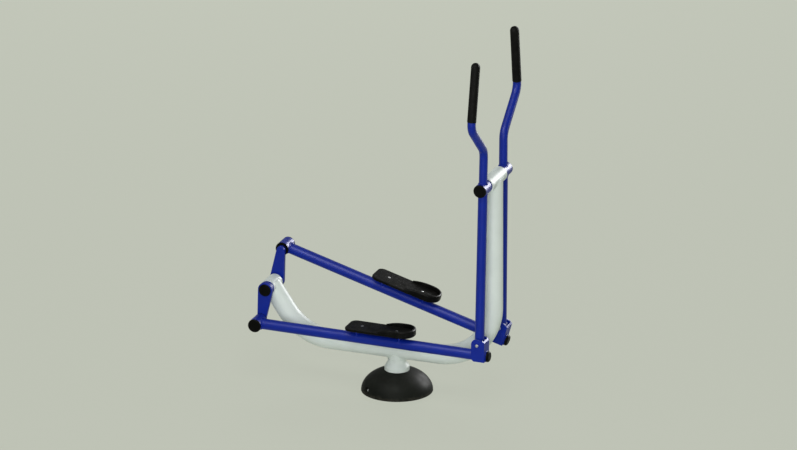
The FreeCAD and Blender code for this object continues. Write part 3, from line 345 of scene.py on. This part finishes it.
def all_finishes():
    """One material for each material slot of the record, by the slot's name."""
    lathe_lines = (1, 14, 1)
    plating_lines = (1, 1, 6)
    grey_dust = (0.20, 0.19, 0.17)
    made = (
        powder_coat("blue_paint", colour=(0.0022, 0.0185, 0.285), deep=(0.002, 0.0160, 0.26),
                    dust=(0.05, 0.07, 0.27), dusty=0.05, chip=(0.008, 0.018, 0.16), shine=0.42),
        powder_coat("white_paint", colour=(0.735, 0.80, 0.755), deep=(0.705, 0.77, 0.725),
                    dust=(0.60, 0.60, 0.55), dusty=0.08, chip=(0.58, 0.60, 0.58), shine=0.46),
        dipped_zinc("galvanised_steel", dark=(0.33, 0.35, 0.37), bright=(0.56, 0.57, 0.58),
                    chalky=(0.62, 0.62, 0.6)),
        domed_cover("cover_plastic", colour=(0.0085, 0.0097, 0.0078), worn=(0.0135, 0.0148, 0.0122),
                    dust=(0.20, 0.20, 0.17), dusty=0.06, earth=(0.075, 0.068, 0.055)),
        moulded_plastic("cap_plastic", colour=(0.0025, 0.0025, 0.0022), worn=(0.005, 0.005, 0.0045),
                        dust=grey_dust, dusty=0.02, grain=1300, shine=0.42),
        moulded_plastic("pedal_plastic", colour=(0.0035, 0.0035, 0.003), worn=(0.009, 0.0088, 0.0078),
                        dust=grey_dust, dusty=0.04, grain=1000, shine=0.38),
        # The grip's darker pore colour is painted shade in its open cells
        foam_rubber("grip_rubber", colour=(0.0030, 0.0030, 0.0026), worn=(0.0062, 0.0062, 0.0053),
                    pore_shade=(0.0014, 0.0014, 0.0012)),
        bright_steel("ground_steel", colour=(0.56, 0.56, 0.57), stain=(0.42, 0.41, 0.4), shine=0.26,
                     streak=lathe_lines),
        bright_steel("zinc_plate", colour=(0.46, 0.47, 0.48), stain=(0.34, 0.33, 0.31), shine=0.34,
                     streak=plating_lines),
        bright_steel("bearing_steel", colour=(0.5, 0.5, 0.51), stain=(0.38, 0.36, 0.33), shine=0.2,
                     streak=lathe_lines),
        pale_nylon("nylon", colour=(0.68, 0.66, 0.6), pale=(0.76, 0.74, 0.69)),
    )
    return {finish.name: finish.material for finish in made}


finishes = all_finishes()
for part in frame["record"]["subparts"]:
    slots = frame["nodes"][part["node"]].data.materials
    slots.clear()
    slots.append(finishes[part["material_slot"]])


# Bench work: one primitive at a time, shaped in edit mode

SELECT_MODES = {"faces": "FACE", "edges": "EDGE"}
SAME_HEIGHT = 0.01 * MM
SOFT_STEPS = 2


def start(add, name, **settings):
    """Add a primitive with nothing else selected, and put its place in its mesh."""
    bpy.ops.object.select_all(action="DESELECT")
    add(**settings)
    bpy.ops.object.transform_apply(location=True, rotation=True, scale=True)
    piece = bpy.context.object
    piece.name = name
    return piece


def upright(name, sides, radius, bottom, top):
    """A cylinder, or a prism with few sides, between two heights."""
    return start(bpy.ops.mesh.primitive_cylinder_add, name, vertices=sides, radius=radius,
                 depth=top - bottom, location=(0, 0, (bottom + top) / 2))


def hexagon_r(flats):
    """The radius to the corners of a hexagon, from the width across its flats."""
    return flats / math.sqrt(3)


def edit():
    bpy.ops.object.mode_set(mode="EDIT")


def done():
    bpy.ops.object.mode_set(mode="OBJECT")


def pick(piece, kind, wanted):
    """In edit mode, select the faces or edges that wanted accepts."""
    bpy.ops.mesh.select_mode(type=SELECT_MODES[kind])
    bpy.ops.mesh.select_all(action="DESELECT")
    shape = bmesh.from_edit_mesh(piece.data)
    for item in getattr(shape, kind):
        if wanted(item):
            item.select_set(True)
    shape.select_flush_mode()
    bmesh.update_edit_mesh(piece.data)


def pick_rim(piece, height):
    """In edit mode, select the edges that lie at a height."""
    pick(piece, "edges", lambda edge: all(abs(v.co.z - height) < SAME_HEIGHT for v in edge.verts))


def only(piece):
    bpy.ops.object.select_all(action="DESELECT")
    piece.select_set(True)
    bpy.context.view_layer.objects.active = piece


def settle(piece, place):
    """Move a finished piece to its place, with the place in its mesh."""
    only(piece)
    piece.matrix_world = place
    bpy.ops.object.transform_apply(location=True, rotation=True, scale=True)


def again(piece, name):
    """A copy with a mesh of its own."""
    twin = piece.copy()
    twin.data = piece.data.copy()
    twin.name = name
    bpy.context.scene.collection.objects.link(twin)
    return twin


def joined(pieces, name):
    bpy.ops.object.select_all(action="DESELECT")
    for piece in pieces:
        piece.select_set(True)
    bpy.context.view_layer.objects.active = pieces[0]
    bpy.ops.object.join()
    pieces[0].name = name
    return pieces[0]


def cut(piece, tool):
    """Take the tool's shape out of the piece."""
    only(piece)
    modifier = piece.modifiers.new("cut", "BOOLEAN")
    modifier.operation = "DIFFERENCE"
    modifier.object = tool
    bpy.ops.object.modifier_apply(modifier=modifier.name)
    bpy.data.objects.remove(tool)


def soften(piece, width, angle):
    """Round the edges that turn by more than an angle, in degrees."""
    only(piece)
    modifier = piece.modifiers.new("soften", "BEVEL")
    modifier.width = width
    modifier.segments = SOFT_STEPS
    modifier.angle_limit = math.radians(angle)
    bpy.ops.object.modifier_apply(modifier=modifier.name)


def smooth(piece, angle):
    only(piece)
    bpy.ops.object.shade_smooth_by_angle(angle=math.radians(angle))


def dress(piece, slot, body):
    """Give a piece its finish and the body that it moves with."""
    piece.data.materials.clear()
    piece.data.materials.append(finishes[slot])
    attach(piece, body)


def frame_at(origin, x_axis, z_axis):
    """The place of a piece from its origin and its X and Z directions."""
    y_axis = z_axis.cross(x_axis)
    turn = Matrix((x_axis, y_axis, z_axis)).transposed().to_4x4()
    return Matrix.Translation(origin) @ turn


def bar_place(side):
    """X runs along the pedal bar from the crank pin, Z square to it."""
    pin = centre(side + "_bar_boss")
    foot = centre(side + "_lower_bush")
    rise = math.atan2(FORK_RISE, BAR_LENGTH)
    tilt = math.atan2(foot.z - pin.z, foot.x - pin.x) - rise
    along = Vector((math.cos(tilt), 0, math.sin(tilt)))
    square = Vector((-math.sin(tilt), 0, math.cos(tilt)))
    return frame_at(Vector((pin.x, foot.y, pin.z)), along, square)


# Weld beads

BEAD_R = 3.2 * MM
SLIM_BEAD_R = 1.6 * MM
STROKE = 4.5 * MM
RING_SWELL = 0.16
STRAIGHT_SWELL = 0.09
RING_STEPS = 144
RING_SIDES = 10
STRAIGHT_STEPS = 72
STRAIGHT_SIDES = 12
BEAD_SMOOTH = 60


def rippled_ring(name, ring_r, bead_r):
    """A flat ring of weld, which swells at each stroke."""
    bead = start(bpy.ops.mesh.primitive_torus_add, name, major_radius=ring_r, minor_radius=bead_r,
                 major_segments=RING_STEPS, minor_segments=RING_SIDES)
    strokes = round(2 * math.pi * ring_r / STROKE)
    for point in bead.data.vertices:
        x, y, z = point.co
        angle = math.atan2(y, x)
        swell = 1 + RING_SWELL * math.cos(strokes * angle)
        reach = ring_r + (math.hypot(x, y) - ring_r) * swell
        point.co = (reach * math.cos(angle), reach * math.sin(angle), z * swell)
    return bead


def saddle_bead(name, origin, branch, header, branch_r, header_r, bead_r=BEAD_R, cut_at=None):
    """A bead where a branch tube lands square on a header tube.

    Each point of a flat ring round the branch moves along the branch to the header's round
    surface. Where the header ends, the bead is cut at that place along it.
    """
    bead = rippled_ring(name, branch_r, bead_r)
    for point in bead.data.vertices:
        aside = branch_r * math.sin(math.atan2(point.co.y, point.co.x))
        point.co.z += math.sqrt(header_r ** 2 - aside ** 2)
    if cut_at is not None:
        edit()
        bpy.ops.mesh.select_all(action="SELECT")
        bpy.ops.mesh.bisect(plane_co=(cut_at, 0, 0), plane_no=(1, 0, 0), use_fill=True,
                            clear_inner=True)
        done()
    settle(bead, frame_at(origin, header, branch))
    smooth(bead, BEAD_SMOOTH)
    return bead


def ring_bead(name, origin, axis, tube_r, bead_r):
    """A bead round a tube where it leaves a flat plate."""
    bead = rippled_ring(name, tube_r, bead_r)
    settle(bead, frame_at(origin, ACROSS, axis))
    smooth(bead, BEAD_SMOOTH)
    return bead


def straight_bead(name, origin, along, half, bead_r):
    """A rippled bead with rounded ends, which runs both ways from its origin."""
    bead = start(bpy.ops.mesh.primitive_uv_sphere_add, name, segments=STRAIGHT_SIDES,
                 ring_count=STRAIGHT_STEPS, radius=1)
    for point in bead.data.vertices:
        x, y, z = point.co
        girth = math.hypot(x, y)
        run = half * (1 - 2 * math.atan2(girth, z) / math.pi)
        past = max(0, abs(run) - half + bead_r) / bead_r
        swell = 1 + STRAIGHT_SWELL * math.cos(2 * math.pi * run / STROKE)
        reach = bead_r * swell * math.sqrt(max(0, 1 - past ** 2))
        out = reach / girth if girth > 0 else 0
        point.co = (x * out, y * out, run)
    settle(bead, frame_at(origin, UP.cross(along), along))
    smooth(bead, BEAD_SMOOTH)
    return bead


def tube_end_welds(cross_tube, tube_r, down, bead_r):
    """Beads round a cross tube at an end of the main tube.

    One goes down each side of the main tube, and one along each lip of its end plate.
    """
    origin = centre(cross_tube + "_tube")
    for side, sign in SIDES:
        name = "%s_%s_weld" % (side, cross_tube)
        bead = saddle_bead(name, origin, ACROSS * sign, down, tube_r, MAIN_R, bead_r, -END_PLATE)
        dress(bead, "white_paint", "frame")
    lip = math.sqrt(tube_r ** 2 - END_PLATE ** 2)
    half = math.sqrt(MAIN_R ** 2 - lip ** 2) + bead_r
    ahead = ACROSS.cross(down)
    for place, turn in (("front", 1), ("rear", -1)):
        name = "%s_%s_plate_weld" % (place, cross_tube)
        at = origin - down * END_PLATE + ahead * lip * turn
        dress(straight_bead(name, at, ACROSS, half, bead_r), "white_paint", "frame")


def frame_welds():
    down_riser = Vector((math.cos(RISER_SLOPE), 0, -math.sin(RISER_SLOPE)))
    tube_end_welds("pivot", PIVOT_TUBE_R, -UP, BEAD_R)
    tube_end_welds("hub", HUB_TUBE_R, down_riser, SLIM_BEAD_R)
    collar = saddle_bead("collar_weld", UP * RAIL_HEIGHT, -UP, FORWARD, COLLAR_NECK_R, MAIN_R)
    dress(collar, "white_paint", "frame")


def arm_welds(side):
    top = centre(side + "_arm_boss")
    foot = centre(side + "_lower_bush")
    top.y = foot.y
    down = (foot - top).normalized()
    for name, origin, branch, branch_r, header_r, bead_r in (
            ("_arm_weld", top, down, ARM_R, BOSS_R, BEAD_R),
            ("_handle_weld", top, -down, HANDLE_R, BOSS_R, BEAD_R),
            ("_foot_weld", foot, -down, ARM_R, BUSH_R, SLIM_BEAD_R)):
        bead = saddle_bead(side + name, origin, branch, ACROSS, branch_r, header_r, bead_r)
        dress(bead, "blue_paint", side + "_arm")


def bar_welds(side):
    place = bar_place(side)
    along = place.to_3x3() @ FORWARD
    front = place @ Vector((BAR_LENGTH + FORK_FRONT, 0, 0))
    boss = saddle_bead(side + "_bar_weld", place.translation, along, ACROSS, BAR_R, BOSS_R)
    fork = ring_bead(side + "_fork_weld", front, along, BAR_R, SLIM_BEAD_R)
    for bead in (boss, fork):
        dress(bead, "blue_paint", side + "_bar")


# Bolts and screws: head, hexagon key, stem and lock nut

FORK_BOLT = SimpleNamespace(head_r=7.5 * MM, head=5.5 * MM, crown=3.5 * MM, key=6 * MM,
                            key_depth=3 * MM, stem_r=4.95 * MM, tip=0.8 * MM, tail=0,
                            nut_flats=15.9 * MM, nut=10 * MM)
PEDAL_BOLT = SimpleNamespace(head_r=7 * MM, head=4.3 * MM, crown=2 * MM, key=5 * MM,
                             key_depth=2.6 * MM, stem_r=3.95 * MM, tip=0.6 * MM, tail=2 * MM,
                             nut_flats=12.9 * MM, nut=6.5 * MM)
COVER_SCREW = SimpleNamespace(head_r=6 * MM, head=5 * MM, crown=3.4 * MM, key=4 * MM,
                              key_depth=2.6 * MM, stem_r=2.95 * MM, tip=0.6 * MM)
PEDAL_BOLT_SUNK = 0.2 * MM
COVER_SCREW_LENGTH = 14 * MM
COVER_SCREW_HEIGHT = 22 * MM
COVER_SCREW_SEAT = 144 * MM
COVER_SCREW_TURNS = (50, 230)

HEAD_SIDES = 64
STEM_SIDES = 48
HEXAGON = 6
CROWN_STEPS = 6
CROWN_PROFILE = 0.6
HEAD_EDGE_ANGLE = 40
NUT_EDGE_ANGLE = 30
BOLT_SMOOTH = 35
FACING_DOWN = -0.9

# Shares of a head's crown or key depth, of a nut's height and of a nut's flats
HEAD_EDGE = 0.12
NUT_HEXAGON = 0.72
NUT_LEDGE = 0.09
NUT_COLLAR_WALL = 0.06
NUT_EDGE = 0.025


def socket_head(name, size):
    """A round head with a rounded crown and a hexagon socket; it stands on z = 0."""
    head = upright(name, HEAD_SIDES, size.head_r, 0, size.head)
    edit()
    pick_rim(head, size.head)
    bpy.ops.mesh.bevel(offset=size.crown, segments=CROWN_STEPS, profile=CROWN_PROFILE, affect="EDGES")
    done()
    bottom = size.head - size.key_depth
    top = size.head + size.key_depth
    cut(head, upright(name + "_socket", HEXAGON, hexagon_r(size.key), bottom, top))
    soften(head, min(size.crown, size.key_depth) * HEAD_EDGE, HEAD_EDGE_ANGLE)
    return head


def stem(name, size, length):
    """The bolt's body below its head, with a chamfered tip."""
    body = upright(name, STEM_SIDES, size.stem_r, -length, 0)
    edit()
    pick_rim(body, -length)
    bpy.ops.mesh.bevel(offset=size.tip, segments=1, affect="EDGES")
    done()
    return body


def lock_nut(name, size, top):
    """A hexagon nut that hangs from z = top, with a locking collar below."""
    hexagon = size.nut * NUT_HEXAGON
    collar = size.nut - hexagon
    nut = upright(name, HEXAGON, hexagon_r(size.nut_flats), top - hexagon, top)
    edit()
    pick(nut, "faces", lambda face: face.normal.z < FACING_DOWN)
    bpy.ops.mesh.inset(thickness=size.nut_flats * NUT_LEDGE)
    bpy.ops.mesh.extrude_region_move(TRANSFORM_OT_translate={"value": (0, 0, -collar)})
    bpy.ops.mesh.inset(thickness=size.nut_flats * NUT_COLLAR_WALL)
    done()
    soften(nut, size.nut_flats * NUT_EDGE, NUT_EDGE_ANGLE)
    return nut


def nutted_bolt(name, size, grip):
    """A bolt with its head on z = 0 and its nut under what it grips."""
    length = grip + size.nut + size.tail
    pieces = [socket_head(name, size), stem(name + "_stem", size, length),
              lock_nut(name + "_nut", size, -grip)]
    return joined(pieces, name)


def fork_bolt(side, sign):
    """The pivot bolt through the fork: button head, stem and lock nut."""
    bolt = nutted_bolt(side + "_pivot_bolt", FORK_BOLT, FORK_HALF * 2)
    seat = centre(side + "_lower_bush") + ACROSS * sign * FORK_HALF
    settle(bolt, frame_at(seat, FORWARD, ACROSS * sign))
    smooth(bolt, BOLT_SMOOTH)
    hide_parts(side + "_fork_bolt")
    dress(bolt, "zinc_plate", side + "_bar")


def pedal_bolts(side):
    """Two socket screws, sunk flush in the pedal's deck, with lock nuts under the brackets."""
    name = side + "_pedal_screws"
    place = bar_place(side)
    grip = PEDAL_THICK - PEDAL_BOLT.head + BRACKET_PLATE
    seat = PEDAL_TOP - PEDAL_BOLT.head - PEDAL_BOLT_SUNK
    pieces = []
    for number, along in enumerate(BOLT_PLACES):
        screw = nutted_bolt("%s_%d" % (name, number), PEDAL_BOLT, grip)
        settle(screw, place @ Matrix.Translation((PEDAL_START + along, 0, seat)))
        pieces.append(screw)
    screws = joined(pieces, name)
    smooth(screws, BOLT_SMOOTH)
    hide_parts(side + "_pedal_bolts")
    dress(screws, "zinc_plate", side + "_bar")


def cover_screws():
    """The two screws at the bottom of the cover's recesses."""
    pieces = []
    for turn in COVER_SCREW_TURNS:
        angle = math.radians(turn)
        out = Vector((math.cos(angle), math.sin(angle), 0))
        name = "cover_fixing_%d" % turn
        head = socket_head(name, COVER_SCREW)
        body = stem(name + "_stem", COVER_SCREW, COVER_SCREW_LENGTH)
        screw = joined([head, body], name)
        seat = out * COVER_SCREW_SEAT + UP * COVER_SCREW_HEIGHT
        settle(screw, frame_at(seat, UP, out))
        pieces.append(screw)
    screws = joined(pieces, "cover_fixings")
    smooth(screws, BOLT_SMOOTH)
    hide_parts("cover_screws")
    dress(screws, "zinc_plate", "frame")


# Pedal treads, on each deck from its heel

PIP_R = 1.9 * MM
PIP_RISE = 0.7 * MM
PIP_ROUND = 0.42 * MM
PIP_SINK = 0.05 * MM
PIP_SIDES = 12
PIP_PITCH = 9 * MM
PIP_SMOOTH = 40
TREAD_START = 14 * MM
TREAD_LENGTH = 279 * MM
TREAD_WIDTH = 92 * MM
BOLT_CLEAR = 12 * MM
TOE_CLEAR = 2.2 * PIP_R
HEEL_CLEAR = TOE_CLEAR + 3 * MM
TOE_INNER = 308 * MM
TOE_HALF = 49 * MM
TOE_HOLLOW_R = 46 * MM


def past_corner(ahead, aside, radius, clear):
    """True within clear of a rounded corner, from the distances past its centre."""
    return ahead > 0 and aside > 0 and math.hypot(ahead, aside) > radius - clear


def on_deck(x, y):
    """True where a pip has room: off the rounded heel, the bolts and the toe wall."""
    if any(math.hypot(x - bolt, y) < BOLT_CLEAR for bolt in BOLT_PLACES):
        return False
    aside = abs(y)
    at_heel = past_corner(HEEL_ROUND - x, aside - PEDAL_HALF + HEEL_ROUND, HEEL_ROUND, HEEL_CLEAR)
    at_toe = past_corner(x - TOE_INNER + TOE_HOLLOW_R, aside - TOE_HALF + TOE_HOLLOW_R,
                         TOE_HOLLOW_R, TOE_CLEAR)
    return not (at_heel or at_toe)


def pip_places():
    """Staggered rows, from the heel to the toe."""
    rows = int(TREAD_LENGTH / PIP_PITCH) + 1
    columns = int(TREAD_WIDTH / PIP_PITCH)
    places = []
    for row in range(rows):
        x = TREAD_START + row * PIP_PITCH
        shift = PIP_PITCH / 2 if row % 2 else 0
        for column in range(columns + 1):
            y = (column - columns / 2) * PIP_PITCH + shift
            if abs(y) < TREAD_WIDTH / 2 and on_deck(x, y):
                places.append((x, y))
    return places


def pedal_tread(side):
    """Low round pips over the deck of the pedal."""
    name = side + "_pedal_tread"
    pip = upright(name, PIP_SIDES, PIP_R, 0, PIP_RISE)
    edit()
    pick_rim(pip, PIP_RISE)
    bpy.ops.mesh.bevel(offset=PIP_ROUND, segments=SOFT_STEPS, affect="EDGES")
    done()
    pips = []
    for number, (x, y) in enumerate(pip_places()):
        copy = again(pip, "%s_%d" % (name, number))
        copy.data.transform(Matrix.Translation((x, y, 0)))
        pips.append(copy)
    bpy.data.objects.remove(pip)
    tread = joined(pips, name)
    deck = Matrix.Translation((PEDAL_START, 0, PEDAL_TOP - PIP_SINK))
    settle(tread, bar_place(side) @ deck)
    smooth(tread, PIP_SMOOTH)
    dress(tread, "pedal_plastic", side + "_bar")


frame_welds()
cover_screws()
for side, sign in SIDES:
    arm_welds(side)
    bar_welds(side)
    fork_bolt(side, sign)
    pedal_bolts(side)
    pedal_tread(side)


# Floor, light and camera

BACKDROP = (0.551, 0.577, 0.494)
FLOOR_SIZE = 80.0
FLOOR_GLOW = 0.8
SKY = (0.97, 1.0, 0.98)
SKY_STRENGTH = 0.32
BEHIND_CRANK = Vector((-0.75, 0, 0.4))
VIEW_AZIMUTH = math.radians(21.3)
VIEW_ELEVATION = math.radians(20.5)
VIEW_WIDTH = 3.5351
VIEW_TARGET = Vector((0.0067, 0, 0.7796))
VIEW_DISTANCE = 8.0
VIEW_FAR = 100.0


def floor():
    """A plain pale floor that keeps a soft shadow."""
    ground = start(bpy.ops.mesh.primitive_plane_add, "floor", size=FLOOR_SIZE)
    paint = Finish("floor_paint")
    paint.set(Base_Color=(*BACKDROP, 1), Roughness=0.9, Specular_IOR_Level=0.0)
    glow = paint.add("ShaderNodeEmission")
    glow.inputs["Color"].default_value = (*BACKDROP, 1)
    path = paint.add("ShaderNodeLightPath")
    seen = paint.maths("MAXIMUM", path.outputs["Is Camera Ray"], path.outputs["Is Glossy Ray"])
    seen = paint.maths("MAXIMUM", seen, path.outputs["Is Transmission Ray"])
    mix = paint.add("ShaderNodeMixShader")
    share, lit, glowing = mix.inputs
    paint.join(paint.maths("MULTIPLY", seen, FLOOR_GLOW), share)
    paint.join(paint.shader.outputs["BSDF"], lit)
    paint.join(glow.outputs["Emission"], glowing)
    paint.join(mix.outputs["Shader"], paint.tree.nodes["Material Output"].inputs["Surface"])
    ground.data.materials.append(paint.material)


def lamp(name, target, direction, distance, width, height, power, diffuse=True, glossy=True):
    """A soft box that looks at the target from a direction, lighting it, mirrored in it, or both."""
    light = bpy.data.lights.new(name, "AREA")
    light.shape = "RECTANGLE"
    light.size = width
    light.size_y = height
    light.energy = power
    holder = bpy.data.objects.new(name, light)
    bpy.context.scene.collection.objects.link(holder)
    away = Vector(direction).normalized()
    holder.location = target + away * distance
    holder.rotation_euler = (-away).to_track_quat("-Z", "Y").to_euler()
    holder.visible_diffuse = diffuse
    holder.visible_glossy = glossy


def lights():
    middle = (CAD_LOW + CAD_HIGH) / 2
    lamp("top", middle, direction=(0.2, -0.45, 0.85), distance=9.0, width=4.5, height=4.5, power=190,
         glossy=False)
    lamp("fill", middle, direction=(0.30, -0.90, 0.12), distance=9.0, width=5.0, height=5.0, power=405)
    lamp("back", middle, direction=(-0.35, 0.85, 0.4), distance=9.0, width=5.0, height=5.0, power=290,
         glossy=False)
    lamp("window", middle, direction=(0.42, 0.87, 0.22), distance=4.5, width=2.4, height=1.8, power=440,
         diffuse=False)
    lamp("ceiling", BEHIND_CRANK, direction=(0.05, -0.60, 0.80), distance=4.4, width=2.8, height=2.6,
         power=190, diffuse=False)
    world = bpy.data.worlds.new("studio")
    world.use_nodes = True
    sky = world.node_tree.nodes["Background"]
    sky.inputs["Color"].default_value = (*SKY, 1)
    sky.inputs["Strength"].default_value = SKY_STRENGTH
    bpy.context.scene.world = world


def camera():
    eye = bpy.data.cameras.new("camera")
    eye.type = "ORTHO"
    eye.ortho_scale = VIEW_WIDTH
    eye.clip_end = VIEW_FAR
    holder = bpy.data.objects.new("camera", eye)
    bpy.context.scene.collection.objects.link(holder)
    back = Vector((math.sin(VIEW_AZIMUTH) * math.cos(VIEW_ELEVATION),
                   -math.cos(VIEW_AZIMUTH) * math.cos(VIEW_ELEVATION),
                   math.sin(VIEW_ELEVATION)))
    holder.location = VIEW_TARGET + back * VIEW_DISTANCE
    holder.rotation_euler = (-back).to_track_quat("-Z", "Y").to_euler()
    bpy.context.scene.camera = holder


floor()
lights()
camera()
bpy.context.scene.view_settings.view_transform = "Standard"
